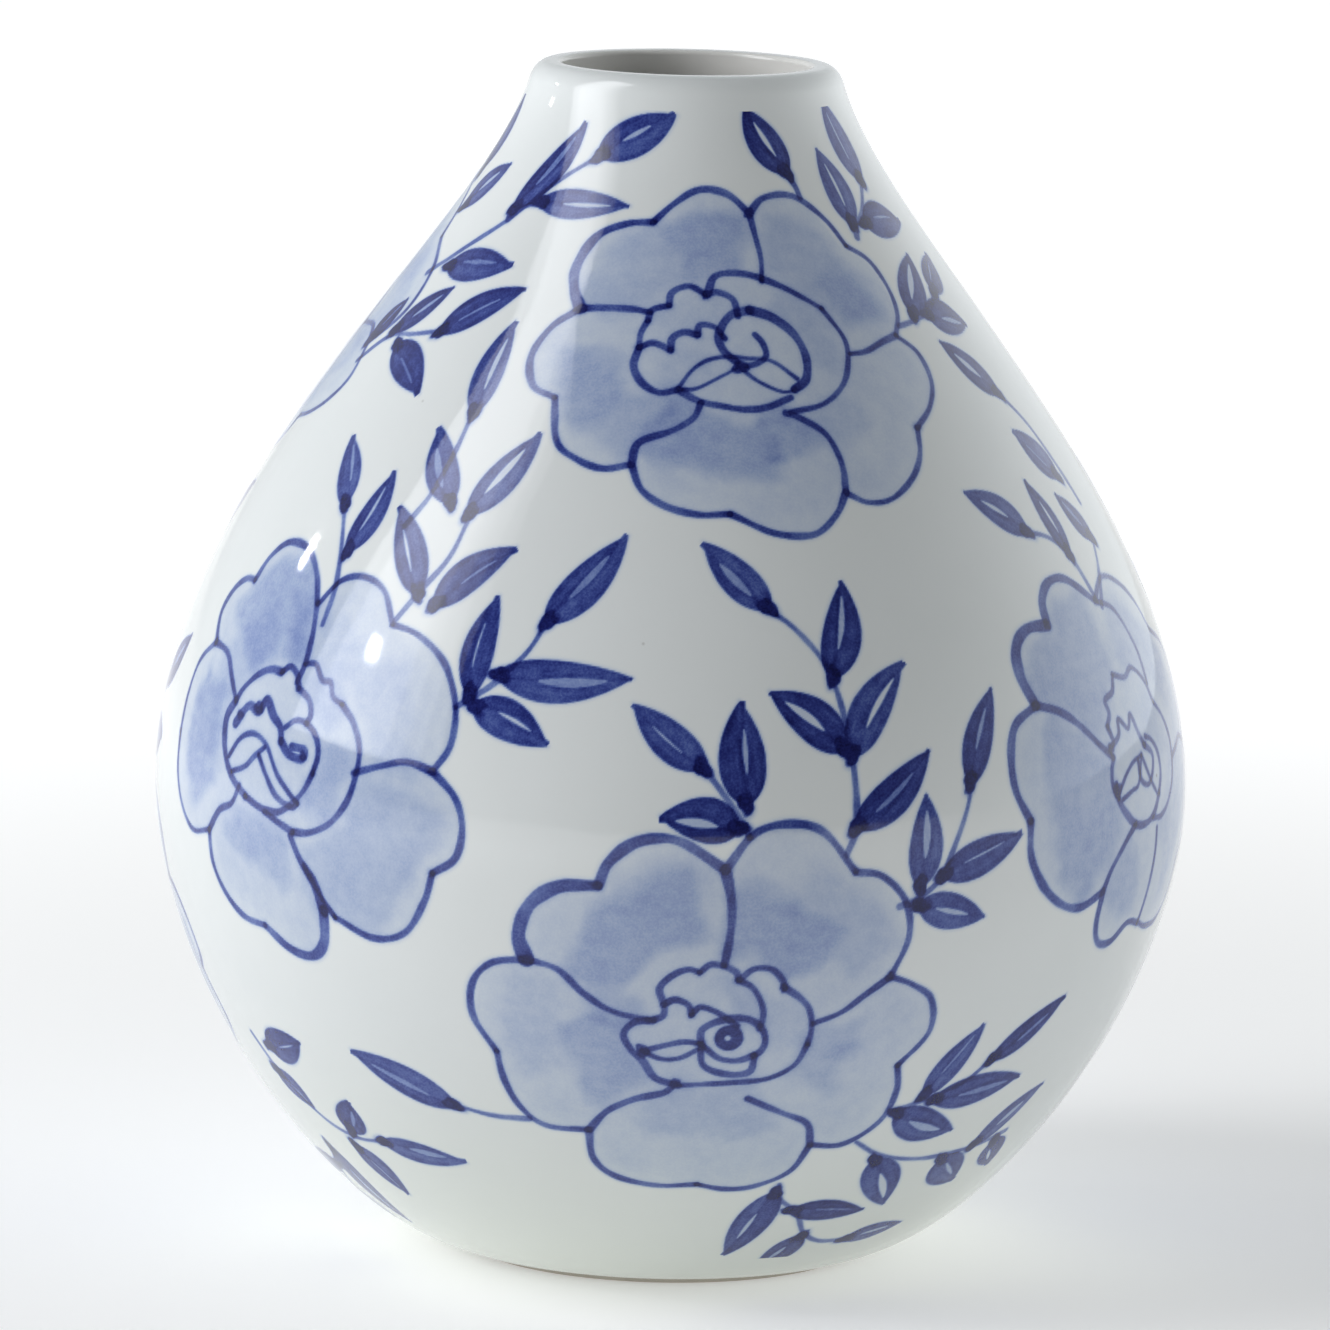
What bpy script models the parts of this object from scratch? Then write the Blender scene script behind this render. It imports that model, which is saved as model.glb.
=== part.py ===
"""Porcelain vase with a pear-shaped body, a small open mouth and an unglazed foot ring.

The body is hollow and is built the way a potter builds it: a lower bowl, a closing shoulder, a
rounded lip and a standing ring, each a turned section luted to the next with a thin line of slip.

Units are metres, +Z is up, and the origin is on the ground under the centre of the foot.
"""

import math

import bpy
import numpy as np

MM = 0.001

# Driving dimensions, in millimetres.
HEIGHT = 200.0
WALL = 3.6  # thickness of the thrown wall
SLIP_LINE = 0.3  # joint between two sections, measured up the wall

BELLY_RADIUS = 86.5  # widest place
BELLY_HEIGHT = 79.5
BELLY_PULL_UP = 48.5  # how far the widest place's upright tangent reaches up the shoulder
BELLY_PULL_DOWN = 37.0  # and down the bowl

NECK_RADIUS = 26.2  # outside, where the lip starts to round over
NECK_HEIGHT = 197.0
NECK_LEAN = math.radians(16)  # inward lean of the neck there
NECK_PULL = 26.0  # how far that lean reaches down the shoulder

MOUTH_RADIUS = 20.8  # the clear opening
LIP_SEAM = 186.0  # height of the joint between the shoulder and the lip
LIP_INNER_ROUND = 0.9
THROAT_HEIGHT = 194.0  # below this the inside of the lip opens out into the wall
THROAT_PULL = 3.5

UNDERSIDE_RADIUS = 35.0  # the glazed underside is level from here inwards
UNDERSIDE_HEIGHT = 1.2
UNDERSIDE_PULL = 17.5
FLOOR_THICKNESS = 4.0

RING_OUTER_RADIUS = 34.4
RING_INNER_RADIUS = 28.0
RING_HEIGHT = 2.4
RING_CHAMFER = 0.5
RECESS_HEIGHT = RING_HEIGHT + SLIP_LINE  # level of the underside above the ring

SEAM_BEVEL = 1.2  # how much lower a joint is on the inside of the wall than on the outside

SEGMENTS = 64  # round the axis
CURVE_STEPS = 16  # along each of the two long curves
CREASE_ANGLE = math.radians(35)  # sharper edges than this keep an edge when shaded


def bezier(start, start_handle, end_handle, end, steps=CURVE_STEPS):
    """Points (radius, height) along one cubic curve."""
    t = np.linspace(0.0, 1.0, steps + 1)[:, None]
    start, start_handle, end_handle, end = map(np.array, (start, start_handle, end_handle, end))
    return (
        (1 - t) ** 3 * start
        + 3 * (1 - t) ** 2 * t * start_handle
        + 3 * (1 - t) * t**2 * end_handle
        + t**3 * end
    )


def quarter_round(start, corner, end, steps):
    """Points of a quarter ellipse that leaves start and reaches end, both tangent to the corner."""
    angles = np.linspace(0.0, math.pi / 2, steps + 1)[:, None]
    start, corner, end = map(np.array, (start, corner, end))
    return corner + (start - corner) * (1 - np.sin(angles)) + (end - corner) * (1 - np.cos(angles))


def outer_curve():
    """The outside of the vase, from its underside up to where the lip rounds over."""
    belly = (BELLY_RADIUS, BELLY_HEIGHT)
    bowl = bezier(
        (UNDERSIDE_RADIUS, UNDERSIDE_HEIGHT),
        (UNDERSIDE_RADIUS + UNDERSIDE_PULL, UNDERSIDE_HEIGHT),
        (BELLY_RADIUS, BELLY_HEIGHT - BELLY_PULL_DOWN),
        belly,
    )
    shoulder = bezier(
        belly,
        (BELLY_RADIUS, BELLY_HEIGHT + BELLY_PULL_UP),
        (
            NECK_RADIUS + NECK_PULL * math.sin(NECK_LEAN),
            NECK_HEIGHT - NECK_PULL * math.cos(NECK_LEAN),
        ),
        (NECK_RADIUS, NECK_HEIGHT),
    )
    return np.vstack([bowl, shoulder[1:]])


def inset(curve, thickness):
    """The curve moved inwards along its normal, which leaves a wall of even thickness."""
    along = np.gradient(curve, axis=0)
    along /= np.linalg.norm(along, axis=1)[:, None]
    inward = np.stack([-along[:, 1], along[:, 0]], axis=1)
    return curve + thickness * inward


def stretch(curve, low, high):
    """The part of a rising curve between two heights, with its ends exactly on them."""
    clearance = 0.4  # a curve point closer than this to an end is left out
    heights = curve[:, 1]
    inside = curve[(heights > low + clearance) & (heights < high - clearance)]
    ends = [(np.interp(level, heights, curve[:, 0]), level) for level in (low, high)]
    return [ends[0], *map(tuple, inside), ends[1]]


def reversed_points(points):
    return list(reversed(points))


def foot_ring_outline():
    """Square ring whose two lower edges are chamfered."""
    return [
        (RING_INNER_RADIUS, RING_CHAMFER),
        (RING_INNER_RADIUS + RING_CHAMFER, 0.0),
        (RING_OUTER_RADIUS - RING_CHAMFER, 0.0),
        (RING_OUTER_RADIUS, RING_CHAMFER),
        (RING_OUTER_RADIUS, RING_HEIGHT),
        (RING_INNER_RADIUS, RING_HEIGHT),
    ]


def lower_body_outline(outer, inner):
    """Bowl with a floor. Its underside steps up over the foot ring."""
    floor_top = RECESS_HEIGHT + FLOOR_THICKNESS
    wall_outside = stretch(outer, UNDERSIDE_HEIGHT, BELLY_HEIGHT - SLIP_LINE / 2)
    wall_inside = stretch(inner, floor_top, BELLY_HEIGHT - SEAM_BEVEL - SLIP_LINE / 2)
    ring_seat = RING_OUTER_RADIUS + SLIP_LINE
    return [
        (0.0, RECESS_HEIGHT),
        (ring_seat, RECESS_HEIGHT),
        (ring_seat, UNDERSIDE_HEIGHT),
        *wall_outside,
        *reversed_points(wall_inside),
        (0.0, floor_top),
    ]


def upper_body_outline(outer, inner):
    """Shoulder, open at both ends."""
    low, high = BELLY_HEIGHT + SLIP_LINE / 2, LIP_SEAM - SLIP_LINE / 2
    return [
        *stretch(outer, low, high),
        *reversed_points(stretch(inner, low - SEAM_BEVEL, high - SEAM_BEVEL)),
    ]


def mouth_rim_outline(outer, inner):
    """Lip: it rounds over on the outside and has a tighter edge towards the mouth."""
    low = LIP_SEAM + SLIP_LINE / 2
    top_radius = NECK_RADIUS - (HEIGHT - NECK_HEIGHT)
    outside_round = quarter_round(
        (NECK_RADIUS, NECK_HEIGHT),
        (NECK_RADIUS - (HEIGHT - NECK_HEIGHT) * math.tan(NECK_LEAN), HEIGHT),
        (top_radius, HEIGHT),
        steps=5,
    )
    inside_round = quarter_round(
        (MOUTH_RADIUS + LIP_INNER_ROUND, HEIGHT),
        (MOUTH_RADIUS, HEIGHT),
        (MOUTH_RADIUS, HEIGHT - LIP_INNER_ROUND),
        steps=3,
    )
    wall_foot, wall_further_up = (
        (np.interp(level, inner[:, 1], inner[:, 0]), level)
        for level in (low - SEAM_BEVEL, low - SEAM_BEVEL + THROAT_PULL)
    )
    throat = bezier(
        (MOUTH_RADIUS, THROAT_HEIGHT),
        (MOUTH_RADIUS, THROAT_HEIGHT - THROAT_PULL),
        wall_further_up,
        wall_foot,
        steps=6,
    )
    return [
        *stretch(outer, low, NECK_HEIGHT)[:-1],
        *map(tuple, outside_round),
        *map(tuple, inside_round),
        *map(tuple, throat),
    ]


def turned(name, outline, material):
    """One closed body, made by turning an outline that runs anticlockwise round its solid."""
    on_axis = [radius == 0.0 for radius, _ in outline]
    points, columns = [], []
    for (radius, height), single in zip(outline, on_axis):
        turns = 1 if single else SEGMENTS
        columns.append([len(points) + turn % turns for turn in range(SEGMENTS)])
        for turn in range(turns):
            angle = 2 * math.pi * turn / SEGMENTS
            points.append(
                (radius * math.cos(angle) * MM, radius * math.sin(angle) * MM, height * MM)
            )
    faces = []
    for here, column in enumerate(columns):
        following = (here + 1) % len(columns)
        if on_axis[here] and on_axis[following]:
            continue
        for turn in range(SEGMENTS):
            turned_on = (turn + 1) % SEGMENTS
            corners = [
                column[turn],
                column[turned_on],
                columns[following][turned_on],
                columns[following][turn],
            ]
            faces.append(list(dict.fromkeys(corners)))
    mesh = bpy.data.meshes.new(name)
    mesh.from_pydata(points, [], faces)
    mesh.materials.append(material)
    mesh.shade_smooth()
    mesh.set_sharp_from_angle(angle=CREASE_ANGLE)
    body = bpy.data.objects.new(name, mesh)
    bpy.context.scene.collection.objects.link(body)
    return body


def ceramic(name, colour, roughness):
    """Principled material of one kind of fired clay."""
    material = bpy.data.materials.new(name)
    material.use_nodes = True
    shader = material.node_tree.nodes["Principled BSDF"]
    shader.inputs["Base Color"].default_value = (*colour, 1.0)
    shader.inputs["Roughness"].default_value = roughness
    shader.inputs["Metallic"].default_value = 0.0
    return material


def main():
    for leftover in list(bpy.data.objects):
        bpy.data.objects.remove(leftover, do_unlink=True)

    glaze = ceramic("porcelain_glaze", (0.80, 0.82, 0.80), 0.08)
    biscuit = ceramic("biscuit_porcelain", (0.78, 0.75, 0.69), 0.75)

    outer = outer_curve()
    inner = inset(outer, WALL)

    turned("foot_ring", foot_ring_outline(), biscuit)
    turned("lower_body", lower_body_outline(outer, inner), glaze)
    turned("upper_body", upper_body_outline(outer, inner), glaze)
    turned("mouth_rim", mouth_rim_outline(outer, inner), glaze)


main()
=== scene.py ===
"""Looks of the porcelain vase: white glaze, cobalt painting under it, and an unglazed foot ring.

The painting is drawn with a few brush functions on a fine grid over the outside of the vase. Each
flower and each spray of leaves then becomes a film of painted glaze that lies on the plain body.
Drawings are in millimetres, on a plane that touches the vase where the drawing's middle is.
"""

import math

import bpy
import numpy as np
from mathutils import Matrix, Vector


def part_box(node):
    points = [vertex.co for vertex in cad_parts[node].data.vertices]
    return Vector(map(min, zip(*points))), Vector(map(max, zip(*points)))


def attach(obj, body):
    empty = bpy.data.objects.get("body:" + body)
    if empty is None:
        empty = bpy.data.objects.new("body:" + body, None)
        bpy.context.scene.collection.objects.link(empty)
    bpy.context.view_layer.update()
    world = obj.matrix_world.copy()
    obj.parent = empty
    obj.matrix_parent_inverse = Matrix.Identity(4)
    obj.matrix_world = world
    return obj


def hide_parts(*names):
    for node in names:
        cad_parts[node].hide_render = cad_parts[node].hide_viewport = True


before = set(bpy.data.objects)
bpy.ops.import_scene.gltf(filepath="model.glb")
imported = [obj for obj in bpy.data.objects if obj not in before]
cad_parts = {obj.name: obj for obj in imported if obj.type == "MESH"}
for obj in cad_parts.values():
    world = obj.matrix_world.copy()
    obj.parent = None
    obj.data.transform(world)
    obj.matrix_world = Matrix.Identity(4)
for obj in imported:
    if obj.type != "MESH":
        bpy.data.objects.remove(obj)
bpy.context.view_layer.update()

MM = 0.001
rng = np.random.default_rng(7)

# ---------------------------------------------------------------- sizes, in millimetres

RING_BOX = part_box("foot_ring")
LOWER_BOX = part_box("lower_body")
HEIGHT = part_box("mouth_rim")[1][2] / MM
BELLY_RADIUS = LOWER_BOX[1][0] / MM
SLIP_LINE = 0.3  # joint between two sections
BELLY_HEIGHT = LOWER_BOX[1][2] / MM + SLIP_LINE / 2
UNDERSIDE_HEIGHT = LOWER_BOX[0][2] / MM
RING_RADIUS = RING_BOX[1][0] / MM
RING_HEIGHT = RING_BOX[1][2] / MM

WALL = 3.6
UNDERSIDE_RADIUS = 35.0  # the underside is level from here inwards
UNDERSIDE_PULL = 17.5  # how far each curve's end tangents reach, here and below
BELLY_PULL_DOWN = 37.0
BELLY_PULL_UP = 48.5
NECK_RADIUS = 26.2  # outside, where the lip starts to round over
NECK_HEIGHT = 197.0
NECK_LEAN = math.radians(16)
NECK_PULL = 26.0
MOUTH_RADIUS = 20.8
LIP_INNER_ROUND = 0.9
THROAT_HEIGHT = 194.0  # from here down to its foot, the inside of the lip opens out into the wall
THROAT_FOOT = 185.0
THROAT_PULL = 3.5
RING_INNER_RADIUS = 28.0
RING_WEAR = 0.55  # how far the ring's lower corners are rounded
RECESS_HEIGHT = RING_HEIGHT + SLIP_LINE  # level of the underside above the ring
FLOOR_THICKNESS = 4.0
FLOOR_TOP = RECESS_HEIGHT + FLOOR_THICKNESS

# ---------------------------------------------------------------- how finely things are made

BODY_SEGMENTS = 384
RING_SEGMENTS = 256
OUTSIDE_STEP = 1.2  # between points of the body's outline, on its outside
INSIDE_STEP = 1.6
LEVEL_STEP = 2.5  # on its floor and its underside
GRID_COLUMNS = 2048  # of the painting, round the vase
GRID_STEP = 0.265  # between its rows
PAINT_LOW = 7.0  # the painting's grid lies between these heights
PAINT_HIGH = 195.0
FILM_LIFT = 0.03  # how far a film of painted glaze stands on the body
FILM_MARGIN = 1.2  # plain glaze round a drawing that its film takes along

# ---------------------------------------------------------------- the drawings
#
# A peony's brush lines are polar points (angle in degrees, radius) round its heart. A line is
# (width at its start, width at its end, points). Edges are the lobes of the petals, from notch to
# notch; folds part the petals; the heart is the rolled middle. A blot is (angle, radius, its own
# radius). A ring is (angle, radius, its own radius, width). A dab of wash is (angle, half of its
# spread in degrees, from radius, to radius, strength).

PEONIES = {
    "open": {
        "edges": [
            (2.0, 1.3, [(150, 27.3), (144, 30), (137, 32.2), (127, 33.4), (119, 32), (112, 29.8)]),
            (1.2, 1.4, [(112, 29.8), (104, 31.5), (96, 33), (88, 32), (81, 29)]),
            (1.4, 0.9, [(81, 29), (77, 32.5), (69, 35), (59, 34.5), (50, 33)]),
            (0.9, 0.8, [(50, 33), (43, 34.5), (34, 34), (26, 32.5), (19, 30)]),
            (0.9, 0.9, [(19, 30), (13, 33), (4, 34), (355, 33), (346, 31)]),
            (1.0, 1.0, [(346, 31), (337, 32.5), (328, 33), (318, 32.5), (311, 30.5), (307, 27.5)]),
            (1.2, 1.2, [(307, 27), (299, 29.5), (289, 31.3), (277, 29.8), (263, 26.5)]),
            (1.2, 1.3, [(263, 26.5), (252, 27.5), (241, 27.8), (231, 27), (222, 24.5)]),
            (1.2, 1.1, [(222, 24.5), (216, 28), (208, 30), (199, 31), (184, 29)]),
            (1.1, 1.3, [(184, 29), (178, 32), (168, 32.5), (158, 30.5), (150, 27.3)]),
        ],
        "folds": [
            (1.3, 1.2, [(150, 27.3), (148, 25), (143, 20), (140, 17)]),
            (1.1, 0.9, [(81, 29), (78, 25), (74, 21), (71, 17)]),
            (1.2, 1.0, [(19, 30), (17, 27), (13, 23), (12, 20)]),
            (1.4, 1.2, [(222, 24.5), (217, 21), (224, 16), (229, 12), (225, 9)]),
            (1.1, 1.2, [(307, 27), (314, 23), (320, 18), (317, 13), (312, 11)]),
        ],
        "heart": [
            (1.5, 1.0, [(105, 14), (97, 17), (83, 17.5), (68, 17.5), (53, 18), (38, 19.5)]),
            (0.9, 1.0, [(38, 19.5), (20, 20), (6, 19), (352, 17.5), (336, 15), (316, 11.5)]),
            (1.2, 1.1, [(145, 16.5), (138, 17), (130, 15.5)]),
            (1.1, 1.2, [(130, 15.5), (123, 17), (113, 16.5), (106, 14)]),
            (1.1, 1.2, [(106, 14), (98, 14), (88, 12.5), (84, 9.5)]),
            (1.2, 1.1, [(145, 16.5), (154, 16.5), (163, 16)]),
            (1.1, 1.2, [(163, 16), (158, 14), (161, 11)]),
            (1.2, 1.3, [(161, 11), (150, 11.5), (140, 10.5), (134, 8.5)]),
            (1.1, 1.1, [(134, 8.5), (124, 9.5), (112, 8), (106, 5.5)]),
            (1.3, 1.3, [(163, 16), (175, 16.5), (187, 15.5), (197, 13.5), (201, 10.5)]),
            (1.3, 1.2, [(201, 10.5), (222, 9), (247, 7.7), (276, 7.8), (302, 8.5), (328, 10)]),
            (1.2, 1.9, [(20, 0.8), (122, 3.5), (112, 6.5), (92, 9.5), (74, 11)]),
            (1.9, 1.4, [(74, 11), (55, 11.5), (33, 12), (12, 12), (352, 11.5), (338, 10)]),
            (1.0, 1.2, [(60, 7), (45, 6.5), (24, 5.5), (12, 3.5), (0, 0.8)]),
            (0.7, 0.8, [(200, 10.5), (184, 7.5), (165, 5), (130, 2.5), (40, 2.5), (12, 6), (350, 10)]),
            (0.7, 0.6, [(200, 10.5), (208, 8), (211, 4), (0, 0.4)]),
            (0.7, 0.6, [(0, 0.4), (322, 4), (328, 8), (336, 10)]),
        ],
        "rings": [],
        "blots": [(0, 0.6, 1.3), (81, 29, 0.9), (150, 27.3, 1.0), (106, 14, 0.7), (346, 31, 0.6)],
        "dabs": [
            (128, 20, 17, 31, 0.08), (96, 15, 17, 29, 0.16), (50, 26, 18, 31, 0.08),
            (38, 14, 22, 30, 0.09), (250, 38, 9, 21, 0.16), (300, 22, 9, 18, 0.17),
            (182, 18, 17, 29, 0.12), (206, 16, 12, 26, 0.09), (330, 16, 14, 24, 0.06),
            (30, 30, 12, 19, 0.08), (120, 30, 9, 16, 0.04), (180, 30, 4, 14, 0.04),
        ],
    },
    "round": {
        "edges": [
            (2.6, 1.9, [(165, 32), (159, 34.5), (150, 35.3), (141, 33.7), (132, 30)]),
            (1.9, 1.5, [(132, 30), (125, 32), (115, 32.7), (104, 31), (90, 26)]),
            (1.4, 1.1, [(90, 26), (82, 31.5), (73, 34), (63, 34.7), (49, 32.3)]),
            (1.1, 1.1, [(49, 32.3), (42, 34.5), (32, 35), (22, 33), (12, 28.5)]),
            (1.0, 1.1, [(12, 28.5), (6.5, 32), (0, 35.2), (350, 35.8), (339, 32.5)]),
            (1.1, 1.1, [(339, 32.5), (331, 35), (321, 36.5), (310, 35), (303, 31)]),
            (1.1, 1.1, [(303, 31), (294, 34.6), (284, 35.6), (276, 35.2), (268, 33.8)]),
            (1.1, 1.3, [(268, 33.8), (257, 35.2), (246, 35.8), (238, 34.3), (230, 30)]),
            (1.1, 1.1, [(230, 30), (222, 35), (214, 36.5), (205, 36.5), (196, 36)]),
            (1.1, 1.2, [(196, 36), (186, 38.8), (177, 39), (170, 36.7), (165, 32)]),
        ],
        "folds": [
            (1.8, 1.3, [(90, 26), (87, 21), (86, 16), (88, 10.5)]),
            (1.2, 1.1, [(165, 32), (164, 27), (170, 22), (176, 17), (179, 11)]),
            (1.3, 1.0, [(12, 28.5), (8, 24), (2, 20), (357, 15.5)]),
            (1.4, 1.3, [(230, 30), (228, 25), (231, 20), (240, 16), (242, 13.5)]),
            (1.2, 1.2, [(303, 31), (307, 26.5), (302, 21.5), (291, 16)]),
        ],
        "heart": [
            (1.2, 1.1, [(160, 9.5), (148, 11.5), (132, 11.5), (119, 11), (111, 9.8)]),
            (1.1, 1.1, [(111, 9.8), (100, 10.7), (88, 10.3), (76, 9.5), (70, 8.3)]),
            (1.1, 1.2, [(70, 8.3), (62, 11), (50, 12.5), (38, 12.5), (31, 12)]),
            (1.2, 1.0, [(31, 12), (20, 13.3), (8, 14.7), (354, 15.3), (342, 15.5)]),
            (1.0, 1.1, [(342, 15.5), (326, 15.5), (308, 14), (286, 12), (262, 12), (245, 13.5)]),
            (1.3, 1.3, [(245, 13.5), (229, 14.5), (214, 14), (203, 14.8), (191, 15.3), (182, 13.5),
                        (179, 10.5)]),
            (1.4, 1.2, [(179, 10.5), (172, 9), (160, 9.5)]),
            (1.2, 1.1, [(160, 9.5), (150, 8.3), (147, 6), (162, 4.7)]),
            (1.1, 1.2, [(162, 4.7), (137, 4.3), (112, 2.5), (50, 1.5), (350, 3)]),
            (1.1, 1.1, [(70, 8.3), (52, 8.2), (32, 7.7), (12, 7.3), (350, 6.8)]),
            (1.4, 1.3, [(236, 4.7), (205, 2.8), (40, 1), (10, 4.5), (352, 7), (336, 8.5), (323, 9),
                        (314, 8.7)]),
            (1.3, 1.1, [(314, 8.7), (296, 8), (275, 6.8), (252, 5.2), (236, 4.7)]),
            (1.2, 0.9, [(206, 13.3), (208, 9.5), (214, 6.5), (236, 4.7)]),
            (0.9, 1.0, [(206, 13.3), (219, 11.3), (229, 9), (238, 6)]),
            (1.2, 1.3, [(236, 4.7), (256, 8.3), (280, 10), (300, 11), (314, 9)]),
        ],
        "rings": [(302, 3.3, 1.45, 2.1)],
        "blots": [(206, 13.2, 1.2), (12, 28.3, 0.8), (90, 26, 0.8), (31, 12, 0.7), (242, 13.4, 0.9)],
        "dabs": [
            (132, 34, 15, 27, 0.17), (60, 28, 12, 24, 0.17), (205, 24, 14, 25, 0.14),
            (172, 12, 12, 22, 0.11), (338, 22, 14, 24, 0.10), (268, 34, 12, 24, 0.08),
            (40, 22, 22, 32, 0.06), (110, 20, 24, 31, 0.03), (344, 7, 19, 25, 0.12),
            (188, 18, 24, 35, 0.05), (40, 50, 3, 10, 0.08), (0, 24, 8, 15, 0.04),
        ],
    },
    "tall": {
        "edges": [
            (1.2, 1.3, [(153, 31.5), (147, 35.5), (140, 36.3), (134, 35.3), (130, 33.3)]),
            (1.3, 1.2, [(130, 33.3), (123, 35.5), (115, 36), (106, 33.5), (99, 29), (94, 24)]),
            (1.1, 1.0, [(93, 24), (86, 28.3), (77, 30.3), (67, 30.3), (55.5, 27.8)]),
            (1.0, 1.1, [(55.5, 27.8), (46, 30.5), (34, 32.8), (21, 33.3), (10, 32.3), (2, 29.7)]),
            (1.2, 1.2, [(2, 29.7), (356, 34), (349, 36.3), (341, 36.8), (334, 34.5)]),
            (1.1, 1.1, [(334, 34.5), (326, 35.5), (315, 36), (305, 33.5), (295, 28)]),
            (2.2, 1.3, [(291, 26.5), (286, 31), (279, 33), (270, 32.3), (259, 30)]),
            (1.2, 1.1, [(259, 30), (248, 31), (237, 30.5), (227, 29), (218, 26)]),
            (0.9, 0.8, [(218, 26), (212, 31.5), (203, 34), (193, 35), (182, 35)]),
            (0.8, 1.1, [(182, 35), (172, 35), (162, 34.5), (153, 31.5)]),
        ],
        "folds": [
            (1.3, 1.2, [(94, 24), (91, 19), (90, 14), (94, 11)]),
            (1.3, 1.0, [(153, 31.5), (150, 26), (154, 21), (160, 17)]),
            (1.3, 1.1, [(2, 29.7), (4, 25), (1, 20.5), (354, 15.5)]),
            (1.3, 1.1, [(218, 26), (216, 21), (219, 17), (214, 13.5)]),
            (1.2, 2.2, [(281, 14), (286, 18), (291, 22), (291, 26.5)]),
            (1.1, 1.1, [(295, 28), (292, 24), (288, 19)]),
        ],
        "heart": [
            (1.2, 1.3, [(160, 17), (150, 16.5), (136, 15.5), (124, 14.5), (113, 13)]),
            (1.3, 1.2, [(113, 13), (104, 13.5), (95, 12), (90, 10)]),
            (1.2, 1.1, [(90, 10), (70, 9), (56, 7.5), (52, 6)]),
            (1.0, 1.0, [(90, 14), (80, 14.5), (68, 13), (60, 13.7), (50, 12.7), (40, 13.7)]),
            (1.1, 1.2, [(40, 13.7), (24, 15), (8, 16), (352, 16), (336, 16), (318, 15.5), (300, 14.5),
                        (284, 13.5)]),
            (1.2, 1.1, [(284, 13.5), (268, 12), (250, 11.5)]),
            (1.8, 1.3, [(160, 17), (170, 18), (180, 17.5), (192, 16.5), (206, 15), (224, 13)]),
            (1.3, 1.1, [(224, 13), (244, 11.5), (266, 10.5), (288, 9), (312, 8), (336, 7.5)]),
            (1.1, 1.1, [(336, 7.5), (0, 7.5), (24, 7), (50, 6), (76, 5), (110, 3.5)]),
            (2.0, 1.5, [(171, 14.8), (155, 13), (150, 10), (135, 10), (134, 6.6), (126, 4), (147, 1.8)]),
            (1.5, 1.7, [(147, 1.8), (319, 1.2), (345, 4.2), (5, 4.3), (22, 1.4)]),
            (1.0, 0.9, [(192, 15.5), (180, 12.5), (172, 9), (182, 5), (250, 4.5), (284, 7), (296, 9.3)]),
            (1.0, 1.0, [(202, 15), (203, 11), (196, 8), (186, 5.5)]),
            (1.0, 1.1, [(196, 7), (232, 6.5), (262, 8), (286, 9.5), (296, 9.3)]),
        ],
        "rings": [],
        "blots": [(148, 10.5, 1.2), (165, 14.2, 0.9), (352, 4.2, 0.8), (153, 31.5, 0.7), (2, 29.7, 0.6)],
        "dabs": [
            (118, 24, 15, 33, 0.15), (100, 10, 14, 26, 0.13), (182, 24, 19, 30, 0.19),
            (250, 30, 13, 22, 0.12), (320, 34, 16, 33, 0.09), (20, 26, 17, 27, 0.07),
            (70, 22, 14, 24, 0.06), (340, 34, 8, 15, 0.13), (60, 34, 8, 14, 0.08),
            (140, 26, 17, 26, 0.08),
        ],
    },
    "leaning": {
        "edges": [
            (2.2, 2.0, [(151, 30.5), (145, 34.3), (138, 36.3), (131, 35.5), (124, 32.3)]),
            (1.9, 1.3, [(124, 32.3), (119, 35), (112, 35.8), (104, 34), (93, 28.5)]),
            (1.1, 0.9, [(93, 28.5), (82, 32), (70, 32), (58, 31), (46, 29)]),
            (0.9, 0.9, [(46, 29), (34, 32), (22, 32.5), (12, 31), (2, 28)]),
            (1.0, 1.0, [(2, 28), (352, 32.5), (342, 33), (332, 31.5), (322, 29)]),
            (1.0, 1.0, [(322, 29), (312, 31), (300, 31), (288, 28.5), (278, 26)]),
            (1.2, 1.5, [(278, 26), (267, 25), (257, 28), (248, 28.7), (241, 26.5), (235, 22)]),
            (1.4, 1.5, [(235, 22), (227, 26.8), (218, 29.8), (207, 32), (196, 33), (186, 32)]),
            (1.4, 1.6, [(186, 32), (177, 34.3), (168, 35), (159, 34.3), (151, 30.5)]),
        ],
        "folds": [
            (1.5, 1.2, [(151, 30.5), (149, 25), (150, 20), (154, 15), (160, 10)]),
            (1.0, 0.9, [(93, 28.5), (80, 26.5), (66, 21), (56, 16)]),
            (1.1, 1.0, [(2, 28), (6, 24), (3, 19), (0, 16)]),
            (1.3, 1.2, [(235, 22), (234, 18), (240, 12), (250, 9)]),
            (1.1, 1.0, [(278, 26), (284, 21), (292, 16), (300, 12)]),
        ],
        "heart": [
            (1.1, 1.1, [(160, 10), (152, 11.5), (146, 10.5), (138, 13)]),
            (1.1, 1.0, [(138, 13), (128, 13.5), (124, 15.5), (112, 15), (104, 17)]),
            (1.0, 0.9, [(104, 17), (90, 15.5), (78, 17), (62, 16), (46, 14)]),
            (0.9, 1.0, [(46, 14), (28, 15), (10, 16), (350, 15.5), (332, 14), (314, 12), (296, 9.5)]),
            (1.1, 1.1, [(160, 10), (172, 10.5), (186, 10.5), (200, 9.5)]),
            (1.6, 1.3, [(186, 9.5), (204, 9.5), (224, 9), (250, 9), (276, 9), (300, 9), (326, 8.5)]),
            (1.1, 1.0, [(326, 8.5), (350, 8.5), (14, 8), (38, 7), (60, 6)]),
            (1.0, 1.0, [(152, 11), (134, 9.5), (122, 11), (112, 8), (98, 9.5), (84, 6), (60, 4.5)]),
            (1.1, 1.0, [(60, 4.5), (20, 5.5), (345, 4.5), (310, 3.5), (250, 1.5), (120, 2)]),
            (0.8, 0.8, [(196, 9), (180, 6), (150, 3.5), (80, 2.5)]),
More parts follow.
